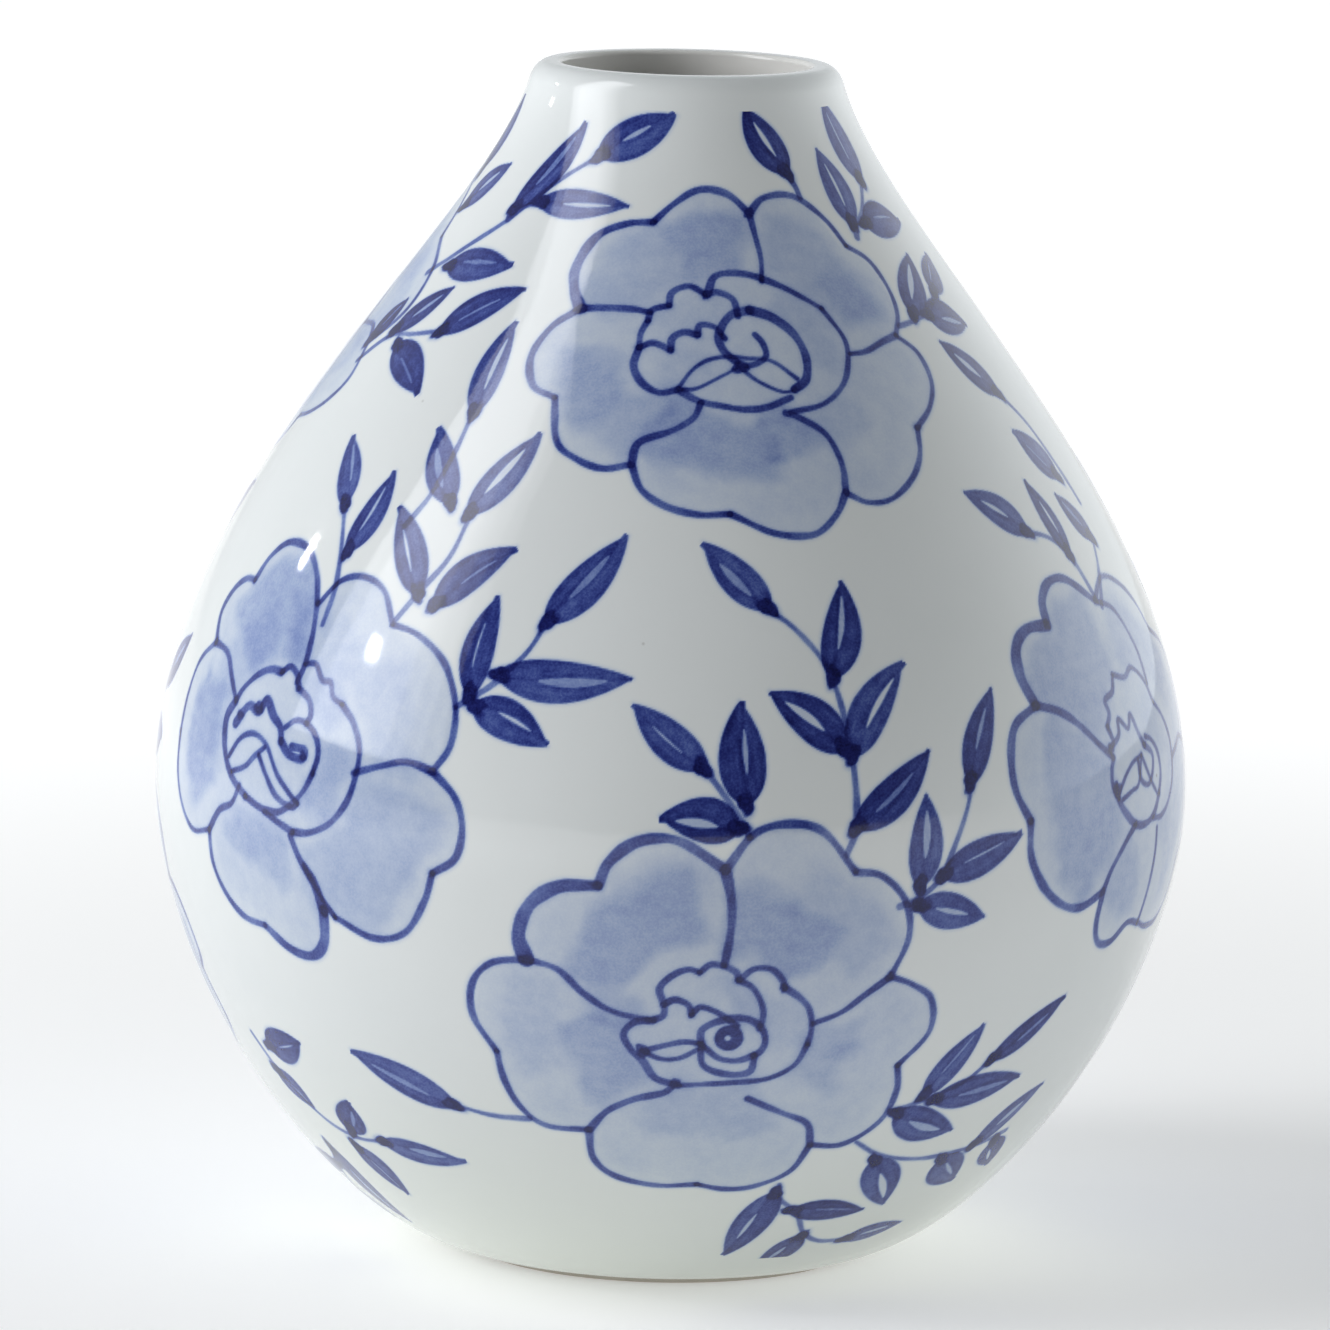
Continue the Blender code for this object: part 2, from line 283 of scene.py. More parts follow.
            (0.8, 0.8, [(206, 8.5), (214, 5), (232, 2.5), (80, 2.5)]),
            (0.8, 0.7, [(80, 2.5), (330, 4), (322, 8)]),
        ],
        "rings": [],
        "blots": [(192, 9.3, 1.3), (153, 11, 0.8), (151, 30.5, 0.8), (60, 4.5, 0.7)],
        "dabs": [
            (126, 26, 14, 33, 0.13), (190, 40, 10, 28, 0.12), (250, 18, 12, 25, 0.10),
            (60, 30, 16, 28, 0.09), (330, 34, 12, 26, 0.08), (40, 34, 8, 15, 0.05),
            (20, 24, 18, 28, 0.06),
        ],
    },
}

# A spray's stems are points (across, up), and a leaf is (base, tip, width).
SPRAYS = {
    "neck_left": {
        "stems": [
            [(10, 11.5), (4, 5), (-2, -2.5), (-11, -9.5), (-17, -13)], [(3, 1.5), (0, 0), (-2, -2.5)],
        ],
        "leaves": [
            ((10, 11.5), (18.5, 22.5), 6.5), ((-2, -0.5), (5.5, 16.5), 5.5), ((3, 1.5), (18.5, 5), 5.5),
            ((-18, 0.5), (-8.5, 8), 5.5), ((-20, 8), (-15, 22), 4.5),
        ],
    },
    "shoulder_left": {
        "stems": [
            [(-2, 0), (-8, -1), (-15, -1.5), (-22, -6)],
            [(15, -12.5), (15.5, -20), (15, -28), (13, -34)],
        ],
        "leaves": [
            ((-9, 12.5), (6.5, 14), 6.5), ((-14.5, -0.5), (-4, 8.5), 5), ((-1.5, 0), (11.5, 11), 6),
            ((-11, -3), (2, -11.5), 6.5), ((15, -12.5), (13, 5), 5.5), ((-22, -2), (-16, 6), 4.5),
        ],
    },
    "left": {
        "stems": [
            [(-24.5, 10), (-22, 2), (-20.8, -5), (-21.5, -11)],
            [(2, 10), (0.5, 2), (-3, -4), (-6.5, -9.5)],
        ],
        "leaves": [
            ((-24.5, 10), (-29, 23), 5), ((-20.5, 1.5), (-15.5, 16), 5.5), ((-2.5, 11), (-9.5, 24.5), 6),
            ((1.5, 9.5), (9.5, 25), 6), ((-3.5, -5), (-12, 10), 6), ((0, -6.5), (11.5, 5), 6),
        ],
    },
    "left_low": {
        "stems": [[(-0.5, 9.5), (-3, 4.5), (-8, -1), (-14, -5)]],
        "leaves": [
            ((-0.5, 9.5), (10.5, 25), 6.5), ((-7.5, 0.5), (14.5, 1.5), 7),
            ((-12, -3), (-9, 13.5), 5.5), ((-11, -4.5), (2, -10.5), 6.5),
        ],
    },
    "centre": {
        "stems": [
            [(-2.5, 16), (1, 13), (5, 8), (7, 3), (8.5, -4), (9.5, -12), (9.5, -19), (8, -23)],
            [(-15, -9), (-12.5, -12.5), (-9.5, -17), (-8, -20)],
        ],
        "leaves": [
            ((-3, 16.5), (-12.5, 28), 6), ((6.5, 5), (9.5, 21), 6.5), ((8, -6.5), (-4, 3), 7),
            ((9, -7.5), (18.5, 8), 6.5), ((-15, -9), (-25.5, 2), 6), ((-8.5, -15), (-9, 1.5), 7.5),
            ((-9.5, -18.5), (-22, -16), 7), ((9.5, -19), (22.5, -6.5), 6),
        ],
    },
    "centre_right": {
        "stems": [[(4, 11.5), (3.5, 8), (1, 2), (-2, -4), (-6, -7), (-9, -8)]],
        "leaves": [
            ((-5.5, -5), (-4.5, 10), 6), ((-1.5, -3.5), (14.5, 2), 6),
            ((-5.5, -8), (7.5, -11), 6), ((4, 11), (10.5, 25.5), 5.5),
        ],
    },
    "neck_right": {
        "stems": [[(-8.5, 5), (-8, 2.5), (-8, 0.5)], [(8, 2.5), (4.5, -3), (1, -6), (0, -8)]],
        "leaves": [
            ((-8.5, 5), (-12, 17.5), 6), ((0.5, -5.5), (-0.5, 8.5), 6),
            ((3.5, -5.5), (15, -5), 7), ((8, 2.5), (4.5, 17), 6),
        ],
    },
    "shoulder_right": {
        "stems": [
            [(-5, 8.5), (-10, 8), (-13, 8)], [(2, 12), (-1, 10), (-5, 8.5)],
            [(3.5, -8), (8, -14), (11, -22), (13, -29)],
        ],
        "leaves": [
            ((-8, 9), (1, 19.5), 6.5), ((-4.5, 8.5), (7, 5.5), 7), ((2, 12), (9, 19), 5.5),
            ((3.5, -8), (-5.5, 3.5), 6), ((9, -24), (1, -14.5), 6.5),
        ],
    },
    "right": {
        "stems": [[(-7.5, 1), (-2, -1), (2, -5), (5, -13)], [(13.5, -2.5), (11, -7), (6, -14)]],
        "leaves": [
            ((-7.5, 1), (-18, 10.5), 6), ((2, -4.5), (-1.5, 9.5), 5), ((13.5, -2.5), (6.5, 6), 5),
        ],
    },
    "low_left": {
        "stems": [
            [(14, 1), (21, -1.5), (27, -2.5)],
            [(-4.5, -10.5), (-11, -11.5), (-18, -10), (-26, -4), (-32, 3)],
        ],
        "leaves": [
            ((15, 0.5), (-3, 9.5), 6.5), ((-4.5, -10.5), (12, -12.5), 5),
            ((-12, -10.5), (-9, -2.5), 6.5), ((-13, -14), (-6, -24), 5.5),
            ((-28, -3), (-20, -8), 5), ((-27, 2.5), (-16, 7.5), 7),
        ],
    },
    "low_right": {
        "stems": [
            [(1.5, 11), (-3, 7), (-9, 4.5), (-14.5, 2)],
            [(-19, -5), (-13, -8), (-5, -9.5), (3, -9.5), (10, -9), (16, -8)],
        ],
        "leaves": [
            ((-10.5, 5), (-3, 18.5), 5.5), ((-8, 4), (11, 6), 6.5), ((-14.5, 1.5), (0, -3.5), 7),
            ((1.5, 11), (15.5, 20.5), 5), ((-13.5, -9), (-5, -21), 7), ((1.5, -10.5), (9, -18), 7.5),
            ((8, -9), (20, 1.5), 5), ((14, -9.5), (18, -17), 6),
        ],
    },
    "low_centre": {
        "stems": [[(-6.5, 9), (-5, 5), (-1, 1), (2, -5), (6, -8.5), (11, -9.5)]],
        "leaves": [
            ((-6.5, 7), (-9.5, -12), 6.5), ((-2.5, 2), (11.5, -0.5), 5.5),
            ((2, -6), (-2.5, -17), 5.5), ((11, -9.5), (22, -9), 5),
        ],
    },
}

# Where each drawing stands: its design, azimuth in degrees (-90 faces the camera), height, and 1 as
# drawn or -1 mirrored.
PEONY_PLACES = [
    ("open", -80, 156, 1), ("round", -84, 54, 1), ("tall", -137, 93, 1), ("leaning", -26, 89, 1),
    ("leaning", 166, 157, 1), ("tall", 46, 156, -1), ("open", 51, 97, 1), ("round", 130, 95, -1),
    ("tall", 16, 47, 1), ("leaning", 92, 47, 1), ("open", 174, 49, -1),
]
SPRAY_PLACES = [
    ("neck_left", -136, 178, 1), ("shoulder_left", -139, 158, 1), ("left", -120.3, 124, 1),
    ("left_low", -105, 108.5, 1), ("centre", -76.2, 105, 1), ("centre_right", -58.5, 81, 1),
    ("neck_right", -43, 181, 1), ("shoulder_right", -28, 155.3, 1), ("right", -30.2, 128, 1),
    ("low_left", -129, 35, 1), ("low_right", -47.8, 34.2, 1), ("low_centre", -67.2, 16.6, 1),
    ("neck_left", 106, 178, 1), ("left_low", 101, 152, 1), ("left", 6, 114, -1),
    ("centre_right", 90, 104, 1), ("centre", 175, 104, -1), ("low_centre", 52, 17, -1),
    ("low_right", 131, 36, 1), ("low_centre", 150, 15, 1), ("low_centre", -156, 16, -1),
]


# ---------------------------------------------------------------- the vase's outline and surface


def bezier(start, start_handle, end_handle, end, steps):
    """Points (radius, height) along one cubic curve."""
    t = np.linspace(0.0, 1.0, steps + 1)[:, None]
    start, start_handle, end_handle, end = map(np.array, (start, start_handle, end_handle, end))
    return (
        (1 - t) ** 3 * start
        + 3 * (1 - t) ** 2 * t * start_handle
        + 3 * (1 - t) * t**2 * end_handle
        + t**3 * end
    )


def quarter_round(start, corner, end, steps):
    """Points of a quarter ellipse that leaves start and reaches end, both tangent to the corner."""
    angles = np.linspace(0.0, math.pi / 2, steps + 1)[:, None]
    start, corner, end = map(np.array, (start, corner, end))
    return corner + (start - corner) * (1 - np.sin(angles)) + (end - corner) * (1 - np.cos(angles))


def spaced(curve, step):
    """The same curve with its points about one step apart along it."""
    lengths = np.r_[0.0, np.cumsum(np.hypot(*np.diff(curve, axis=0).T))]
    count = max(2, round(lengths[-1] / step) + 1)
    at = np.linspace(0.0, lengths[-1], count)
    return np.stack([np.interp(at, lengths, curve[:, 0]), np.interp(at, lengths, curve[:, 1])], axis=1)


def outer_curve(steps=400):
    """The outside of the vase, from its underside up to where the lip rounds over."""
    belly = (BELLY_RADIUS, BELLY_HEIGHT)
    bowl = bezier(
        (UNDERSIDE_RADIUS, UNDERSIDE_HEIGHT),
        (UNDERSIDE_RADIUS + UNDERSIDE_PULL, UNDERSIDE_HEIGHT),
        (BELLY_RADIUS, BELLY_HEIGHT - BELLY_PULL_DOWN),
        belly,
        steps,
    )
    neck_handle = (
        NECK_RADIUS + NECK_PULL * math.sin(NECK_LEAN),
        NECK_HEIGHT - NECK_PULL * math.cos(NECK_LEAN),
    )
    shoulder = bezier(
        belly,
        (BELLY_RADIUS, BELLY_HEIGHT + BELLY_PULL_UP),
        neck_handle,
        (NECK_RADIUS, NECK_HEIGHT),
        steps,
    )
    return np.vstack([bowl, shoulder[1:]])


def inset(curve, thickness):
    """The curve moved inwards along its normal, which leaves a wall of even thickness."""
    along = np.gradient(curve, axis=0)
    along /= np.linalg.norm(along, axis=1)[:, None]
    return curve + thickness * np.stack([-along[:, 1], along[:, 0]], axis=1)


def smooth_step(value, low, high):
    """0 below the low limit, 1 above the high one, and a soft rise between."""
    t = np.clip((value - low) / (high - low), 0.0, 1.0)
    return t * t * (3 - 2 * t)


def swell(azimuth, height):
    """How far the hand-made wall stands out from a true turned shape, in millimetres."""
    fade = smooth_step(height, 2.0, 14.0) * (1 - smooth_step(height, 186.0, 198.0))
    return fade * (
        0.10 * np.sin(2 * azimuth + height / 31.0)
        + 0.06 * np.sin(5 * azimuth - height / 17.0 + 1.3)
        + 0.03 * np.sin(9 * azimuth + height / 9.0 + 0.4)
        + 0.02 * np.sin(4 * azimuth - height / 4.5)
    )


OUTER = outer_curve()


def turned_points(outline, azimuths, wavy):
    """Points (rows along the outline, columns round the axis, xyz), in millimetres."""
    radius = outline[:, 0][:, None] + np.zeros_like(azimuths)[None, :]
    height = outline[:, 1][:, None] + np.zeros_like(azimuths)[None, :]
    if wavy is not None:
        radius = radius + np.asarray(wavy)[:, None] * swell(azimuths[None, :], height)
    return np.stack([radius * np.cos(azimuths), radius * np.sin(azimuths), height], axis=2)


# ---------------------------------------------------------------- painting

LINE_WEIGHT = 0.88  # how heavily the brush is pressed for all lines
LATTICE = 64  # random values along each side of a cloud pattern, before it repeats
SPRAY_REACH = 40.0  # how far a drawing's window stretches from its middle
PEONY_REACH = 46.0
PAINTED = 0.012  # less cobalt than this counts as plain glaze
MOST_COBALT = 1.6


def smooth_line(points, steps=8):
    """A smooth curve through the given points, as a brush would take it."""
    points = np.asarray(points, float)
    padded = np.vstack([2 * points[0] - points[1], points, 2 * points[-1] - points[-2]])
    t = np.linspace(0.0, 1.0, steps, endpoint=False)[:, None]
    spans = []
    for a, b, c, d in zip(padded, padded[1:], padded[2:], padded[3:]):
        bend, twist = 2 * a - 5 * b + 4 * c - d, 3 * b - a - 3 * c + d
        spans.append(0.5 * (2 * b + (c - a) * t + bend * t**2 + twist * t**3))
    return np.vstack([*spans, points[-1:]])


def polar(points):
    """(angle in degrees, radius) to (across, up)."""
    angle, radius = np.asarray(points, float).T
    return np.stack([radius * np.cos(np.radians(angle)), radius * np.sin(np.radians(angle))], axis=1)


def clouds(x, y, size):
    """Smooth random patches about this wide, from -1 to 1."""
    lattice = rng.uniform(-1.0, 1.0, (LATTICE, LATTICE))
    across, up = x / size + LATTICE / 2, y / size + LATTICE / 2
    column, row = np.floor(across).astype(int), np.floor(up).astype(int)
    right, above = smooth_step(across - column, 0.0, 1.0), smooth_step(up - row, 0.0, 1.0)

    def along(level):
        """The pattern along one row of the lattice."""
        before = lattice[level % LATTICE, column % LATTICE]
        after = lattice[level % LATTICE, (column + 1) % LATTICE]
        return before * (1 - right) + after * right

    return along(row) * (1 - above) + along(row + 1) * above


def random_phase():
    """Anywhere in a full turn, in radians."""
    return rng.uniform(0, 6.3)


class Drawing:
    """One motif, painted on the part of the vase round its middle."""

    EDGE = 0.17  # softness of a brush line's edge
    BLEED = 0.45  # how far the cobalt bleeds into the glaze
    WASH = 0.095  # cobalt in the wash along a petal's edge
    FULLER_WASH = 0.030  # and how much more there is further in

    def __init__(self, across, up):
        self.x, self.y = across, up
        self.cobalt = np.zeros_like(across)

    def within(self, low, high, margin=2.0):
        """Indices of the surface points in a rectangle."""
        inside = (self.x > low[0] - margin) & (self.x < high[0] + margin)
        inside &= (self.y > low[1] - margin) & (self.y < high[1] + margin)
        return np.nonzero(inside)

    def lay(self, at, amount):
        """A second coat darkens the first, but less than it would bare clay."""
        self.cobalt[at] += amount * (1 - 0.4 * np.clip(self.cobalt[at], 0.0, 1.0))

    def soft(self, depth):
        """Coverage at a depth inside a brush mark, with the bleed outside it."""
        bleed = 0.10 * np.exp(-((np.minimum(depth, 0.0) / self.BLEED) ** 2))
        return smooth_step(depth, -self.EDGE, self.EDGE) + bleed * (depth < 0)

    def line(self, points, start_width, end_width, strength=0.84, pools=True):
        """A brush line through the points. The brush pools a little where it starts and where it stops.
        """
        route = smooth_line(points)
        at = self.within(route.min(axis=0), route.max(axis=0))
        x, y = self.x[at], self.y[at]
        if not len(x):
            return
        steps = np.hypot(*np.diff(route, axis=0).T)
        reached = np.r_[0.0, np.cumsum(steps)]
        share = reached / reached[-1]
        wobble = 1 + 0.10 * np.sin(reached / 2.3 + random_phase()) + 0.06 * np.sin(reached / 0.9)
        half = 0.5 * LINE_WEIGHT * (start_width + (end_width - start_width) * share) * wobble
        depth = np.full(x.shape, -99.0)
        place = np.zeros_like(x)
        for k in range(len(route) - 1):
            run = route[k + 1] - route[k]
            t = ((x - route[k][0]) * run[0] + (y - route[k][1]) * run[1]) / max(run @ run, 1e-9)
            t = np.clip(t, 0.0, 1.0)
            away = np.hypot(x - route[k][0] - t * run[0], y - route[k][1] - t * run[1])
            inside = half[k] + (half[k + 1] - half[k]) * t - away
            better = inside > depth
            depth[better] = inside[better]
            place[better] = (reached[k] + t * steps[k])[better]
        phase = random_phase()
        uneven = 0.14 * np.sin(place / 3.1 + phase) + 0.08 * np.sin(place / 1.3 + 2 * phase)
        tone = strength * (1 + uneven)
        if pools:
            first, last = rng.uniform(0.05, 0.30, 2)
            tone = tone + first * np.exp(-((place / 1.1) ** 2))
            tone = tone + last * np.exp(-(((reached[-1] - place) / 1.1) ** 2))
        self.lay(at, tone * self.soft(depth))

    def blot(self, middle, long_radius, short_radius, angle=0.0, strength=0.9):
        """A drop of dark pigment."""
        middle = np.asarray(middle, float)
        at = self.within(middle - long_radius, middle + long_radius, margin=1.0)
        dx, dy = self.x[at] - middle[0], self.y[at] - middle[1]
        u = (dx * math.cos(angle) + dy * math.sin(angle)) / long_radius
        v = (-dx * math.sin(angle) + dy * math.cos(angle)) / short_radius
        around = np.arctan2(v, u)
        size = 1 + 0.10 * np.sin(3 * around + random_phase()) + 0.05 * np.sin(5 * around)
        self.lay(at, strength * self.soft((size - np.hypot(u, v)) * short_radius))

    def ring(self, middle, radius, width):
        """A small closed circle."""
        angles = np.linspace(0.3, 2 * math.pi + 0.3, 13)
        circle = np.stack([radius * np.cos(angles), radius * np.sin(angles)], axis=1)
        self.line(np.asarray(middle) + circle, width, width, strength=1.05, pools=False)

    def leaf(self, base, tip, width):
        """Two brush strokes from base to tip, bowed apart so that a slit of white can stay between."""
        base, tip = np.asarray(base, float), np.asarray(tip, float)
        length = math.hypot(*(tip - base))
        along = (tip - base) / length
        at = self.within(np.minimum(base, tip) - width / 2, np.maximum(base, tip) + width / 2)
        dx, dy = self.x[at] - base[0], self.y[at] - base[1]
        u = (dx * along[0] + dy * along[1]) / length
        inside = np.clip(u, 0.0, 1.0)
        beyond = (u - inside) * length
        bow = rng.uniform(-0.05, 0.05) * length
        v = -dx * along[1] + dy * along[0] - bow * np.sin(math.pi * inside)
        # The 2.83 brings the fullest place, two fifths of the way along, to the given width.
        half = 0.5 * width * 2.83 * inside**0.62 * (1 - inside) ** 0.92
        slit_from, slit_to = rng.uniform(0.20, 0.32), rng.uniform(0.72, 0.88)
        slit_width = width * rng.choice([0.02, 0.05, 0.07, 0.10])
        slit_place = width * rng.uniform(-0.10, 0.10)
        opening = np.sin(math.pi * np.clip((inside - slit_from) / (slit_to - slit_from), 0.0, 1.0))
        lap = 0.35 * (1 - smooth_step(opening, 0.0, 0.25))
        veil = rng.uniform(0.05, 0.5)  # how much of the slit is washed over
        tone, patches = rng.uniform(0.92, 1.22), clouds(u * 2.2, v, 0.8)
        coat = np.zeros_like(u)
        for side in (-1, 1):
            from_slit = side * (v - slit_place) - slit_width * opening + lap
            to_edge = np.where(beyond == 0, half - side * v, -np.hypot(beyond, v))
            covered = smooth_step(from_slit, -0.20, 0.28) * self.soft(to_edge)
            streaks = clouds(u * 1.2, v, 0.22)
            shade = tone * (1 + 0.07 * streaks + 0.09 * patches + side * 0.05)
            middle = smooth_step(to_edge, 0.5, 1.6) * smooth_step(from_slit, 0.3, 1.2)
            shade = shade * (1 - 0.13 * middle)
            coat = np.maximum(coat, shade * covered)
        in_leaf = np.where(beyond == 0, half - np.abs(v), -1.0)
        self.lay(at, np.maximum(coat, veil * tone * smooth_step(in_leaf, 0.0, 0.3)))
        angle = math.atan2(along[1], along[0])
        self.blot(base + 0.35 * along, 1.75, 1.2, angle + rng.uniform(-0.3, 0.3), strength=1.5)
        self.blot(base - 0.7 * along, 1.1, 0.7, angle + rng.uniform(-0.4, 0.4), strength=0.8)
        if rng.random() < 0.5:
            aside = np.array([-along[1], along[0]]) * rng.choice([-0.7, 0.7])
            self.blot(base + 1.2 * along + aside, 1.2, 0.7, angle, strength=0.5)

    def peony(self, design):
        """Pale wash inside the petals first, then the brush lines over it."""
        outline = np.vstack([smooth_line(polar(points)) for _, _, points in design["edges"]])
        angle = np.degrees(np.arctan2(outline[:, 1], outline[:, 0])) % 360
        order = np.argsort(angle)
        reach_of = (angle[order], np.hypot(*outline.T)[order])
        turn, radius = np.degrees(np.arctan2(self.y, self.x)) % 360, np.hypot(self.x, self.y)
        depth = np.interp(turn, *reach_of, period=360) - radius
        wandering = depth - 0.35 + 0.75 * clouds(self.x, self.y, 9.0)
        inside = smooth_step(wandering, -0.5, 0.5) * smooth_step(depth, -1.4, -0.4)
        patches = 0.020 * clouds(self.x, self.y, 7.0) + 0.005 * clouds(self.x, self.y, 1.8)
        wash = inside * (self.WASH + self.FULLER_WASH * smooth_step(depth, 0.5, 5.0) + patches)
        for middle, spread, low, high, strength in design["dabs"]:
            off = np.abs((turn - middle + 180) % 360 - 180)
            ragged = 1.5 * clouds(self.x, self.y, 5.0) + 0.3 * clouds(self.x, self.y, 1.7)
            dab = smooth_step((spread - off) * np.radians(radius) + ragged, -1.4, 2.4)
            dab *= smooth_step(radius - low + ragged, -1.4, 2.2)
            dab *= smooth_step(high - radius - ragged, -1.4, 2.2)
            brushed = 1 + 0.15 * clouds(self.x * 0.3, self.y, 1.1) + 0.10 * clouds(self.x, self.y, 3.5)
            wash += 0.9 * inside * strength * dab * brushed
        self.cobalt += wash
        for start_width, end_width, points in design["edges"] + design["folds"] + design["heart"]:
            self.line(polar(points), start_width, end_width)
        for turned, out, radius, width in design["rings"]:
            self.ring(polar([(turned, out)])[0], radius, width)
        for turned, out, radius in design["blots"]:
            self.blot(polar([(turned, out)])[0], radius * 1.15, radius * 0.85, rng.uniform(0, 3.1))

    def spray(self, design):
        """Thin stems, then leaves with a dark drop where each leaf leaves its stem."""
        for stem in design["stems"]:
            self.line(stem, 0.8, 1.2, strength=0.62, pools=False)
        for base, tip, width in design["leaves"]:
            self.leaf(base, tip, width)


class Canvas:
    """How much cobalt lies on each point of a fine grid over the outside, and in which drawing."""

    def __init__(self):
        rows = spaced(OUTER, GRID_STEP)
        self.outline = rows[(rows[:, 1] > PAINT_LOW) & (rows[:, 1] < PAINT_HIGH)]
        self.azimuths = np.radians(np.arange(GRID_COLUMNS) * 360.0 / GRID_COLUMNS - 180.0)
        self.true_points = turned_points(self.outline, self.azimuths, None)
        self.cobalt = np.zeros(self.true_points.shape[:2])
        self.strongest = np.zeros_like(self.cobalt)
        self.owner = np.zeros(self.cobalt.shape, int)
        self.names = []

    def start(self, azimuth, height, mirrored, reach):
        """A drawing's window of the grid, in coordinates on the plane that touches the vase there."""
        row = int(np.argmin(np.abs(self.outline[:, 1] - height)))
        turn = math.radians(azimuth)
        slope = self.outline[row + 1] - self.outline[row - 1]
        slope = slope / np.hypot(*slope)
        side = np.array([-math.sin(turn), math.cos(turn), 0.0])
        up = np.array([slope[0] * math.cos(turn), slope[0] * math.sin(turn), slope[1]])
        radius, level = self.outline[row]
        middle = np.array([radius * math.cos(turn), radius * math.sin(turn), level])
        row_count = round(reach / GRID_STEP)
        rows = np.arange(max(0, row - row_count), min(len(self.outline), row + row_count))
        half_turn = min(1.35, 1.15 * reach / radius)  # radians; further round, the glaze faces away
        count = round(half_turn / (2 * math.pi) * GRID_COLUMNS)
        column = round((turn + math.pi) / (2 * math.pi) * GRID_COLUMNS)
        columns = np.arange(column - count, column + count + 1) % GRID_COLUMNS
        window = np.ix_(rows, columns)
        offset = self.true_points[window] - middle
        return window, Drawing(mirrored * (offset @ side), offset @ up)

    def keep(self, window, drawing, name):
        """Adds a finished drawing, which owns the points where it is the strongest."""
        self.names.append(name)
        self.cobalt[window] += drawing.cobalt
        strongest, owner = self.strongest[window], self.owner[window]
        mine = (drawing.cobalt > PAINTED) & (drawing.cobalt > strongest)
        owner[mine] = len(self.names)
        strongest[mine] = drawing.cobalt[mine]
        self.strongest[window], self.owner[window] = strongest, owner

    def spread(self):
        """Each drawing takes along a margin of plain glaze."""
        for _ in range(max(1, round(FILM_MARGIN / GRID_STEP))):
            grown = self.owner.copy()
            for shift, axis in ((1, 0), (-1, 0), (1, 1), (-1, 1)):
                moved = np.roll(self.owner, shift, axis)
                grown = np.where(grown == 0, moved, grown)
            grown[[0, -1], :] = 0
            self.owner = grown


def paint():
    """The whole decoration."""
    canvas = Canvas()
    for number, (design, azimuth, height, mirrored) in enumerate(SPRAY_PLACES, 1):
        window, drawing = canvas.start(azimuth, height, mirrored, SPRAY_REACH)
        drawing.spray(SPRAYS[design])
        canvas.keep(window, drawing, f"painted_spray_{number:02d}")
    for number, (design, azimuth, height, mirrored) in enumerate(PEONY_PLACES, 1):
        window, drawing = canvas.start(azimuth, height, mirrored, PEONY_REACH)
        drawing.peony(PEONIES[design])
        canvas.keep(window, drawing, f"painted_peony_{number:02d}")
    canvas.cobalt = np.clip(canvas.cobalt, 0.0, MOST_COBALT)
    canvas.spread()
    return canvas


# ---------------------------------------------------------------- meshes


def new_object(name, points, faces, material):
    """A smooth mesh object from points in millimetres and an array of quads."""
    mesh = bpy.data.meshes.new(name)
    mesh.vertices.add(len(points))
    mesh.vertices.foreach_set("co", (np.asarray(points) * MM).astype(np.float32).ravel())
    mesh.loops.add(faces.size)
    mesh.loops.foreach_set("vertex_index", faces.astype(np.int32).ravel())
    mesh.polygons.add(len(faces))
    mesh.polygons.foreach_set("loop_start", np.arange(0, faces.size, 4, dtype=np.int32))
    mesh.materials.append(material)
    mesh.update(calc_edges=True)
    mesh.validate()
    mesh.shade_smooth()
    piece = bpy.data.objects.new(name, mesh)
    bpy.context.scene.collection.objects.link(piece)
    return piece


def build_films(canvas, material):
    """One thin film of painted glaze for each drawing."""
    wavy = turned_points(canvas.outline, canvas.azimuths, np.ones(len(canvas.outline)))
    round_axis = np.roll(wavy, -1, axis=1) - np.roll(wavy, 1, axis=1)
    normals = np.cross(round_axis, np.gradient(wavy, axis=0))
    normals /= np.linalg.norm(normals, axis=2)[:, :, None]

    # The rim of a film dips under the body's surface, so that no edge shows.
    owner = np.pad(canvas.owner, ((1, 1), (0, 0)), mode="edge")
    across = [np.roll(canvas.owner, shift, 1) for shift in (-1, 0, 1)]
    buried = (np.stack([*across, owner[:-2], owner[2:]]) == 0).any(axis=0)
    buried |= np.roll(buried, 1, 0) | np.roll(buried, 1, 1)
    lift = np.where(buried, -FILM_LIFT, FILM_LIFT)
    lifted = (wavy + lift[:, :, None] * normals).reshape(-1, 3)
    normals = normals.reshape(-1, 3)

    for number, name in enumerate(canvas.names, 1):
        row, column = np.nonzero(canvas.owner == number)
        if not len(row):
            continue
        following = (column + 1) % GRID_COLUMNS
        corners = [row * GRID_COLUMNS + column, row * GRID_COLUMNS + following]
        corners += [(row + 1) * GRID_COLUMNS + following, (row + 1) * GRID_COLUMNS + column]
        used, faces = np.unique(np.stack(corners, axis=1), return_inverse=True)
        film = new_object(name, lifted[used], faces.reshape(-1, 4), material)
        cobalt = film.data.attributes.new("cobalt", "FLOAT", "POINT")
        cobalt.data.foreach_set("value", canvas.cobalt.ravel()[used].astype(np.float32))
        film.data.normals_split_custom_set_from_vertices(normals[used])
        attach(film, "root")


def closed_turning(name, outline, wavy, segments, material):
    """A turned solid whose outline starts and ends on the axis, or meets itself if it is a ring."""
    azimuths = np.arange(segments) * 2 * math.pi / segments
    points = turned_points(outline, azimuths, wavy)
    rows = len(outline)
    on_axis = outline[0][0] < 1e-6
    last = rows - 1 if on_axis else rows
    row, column = np.meshgrid(np.arange(last), np.arange(segments), indexing="ij")
    row, column = row.ravel(), column.ravel()
    beyond, following = (row + 1) % rows, (column + 1) % segments
    corners = [row * segments + column, row * segments + following]
    corners += [beyond * segments + following, beyond * segments + column]
    faces = np.stack(corners, axis=1)
    piece = new_object(name, points.reshape(-1, 3), faces, material)
    if on_axis:
        weld = piece.modifiers.new("join_at_axis", "WELD")
        weld.merge_threshold = 0.000002
    return piece


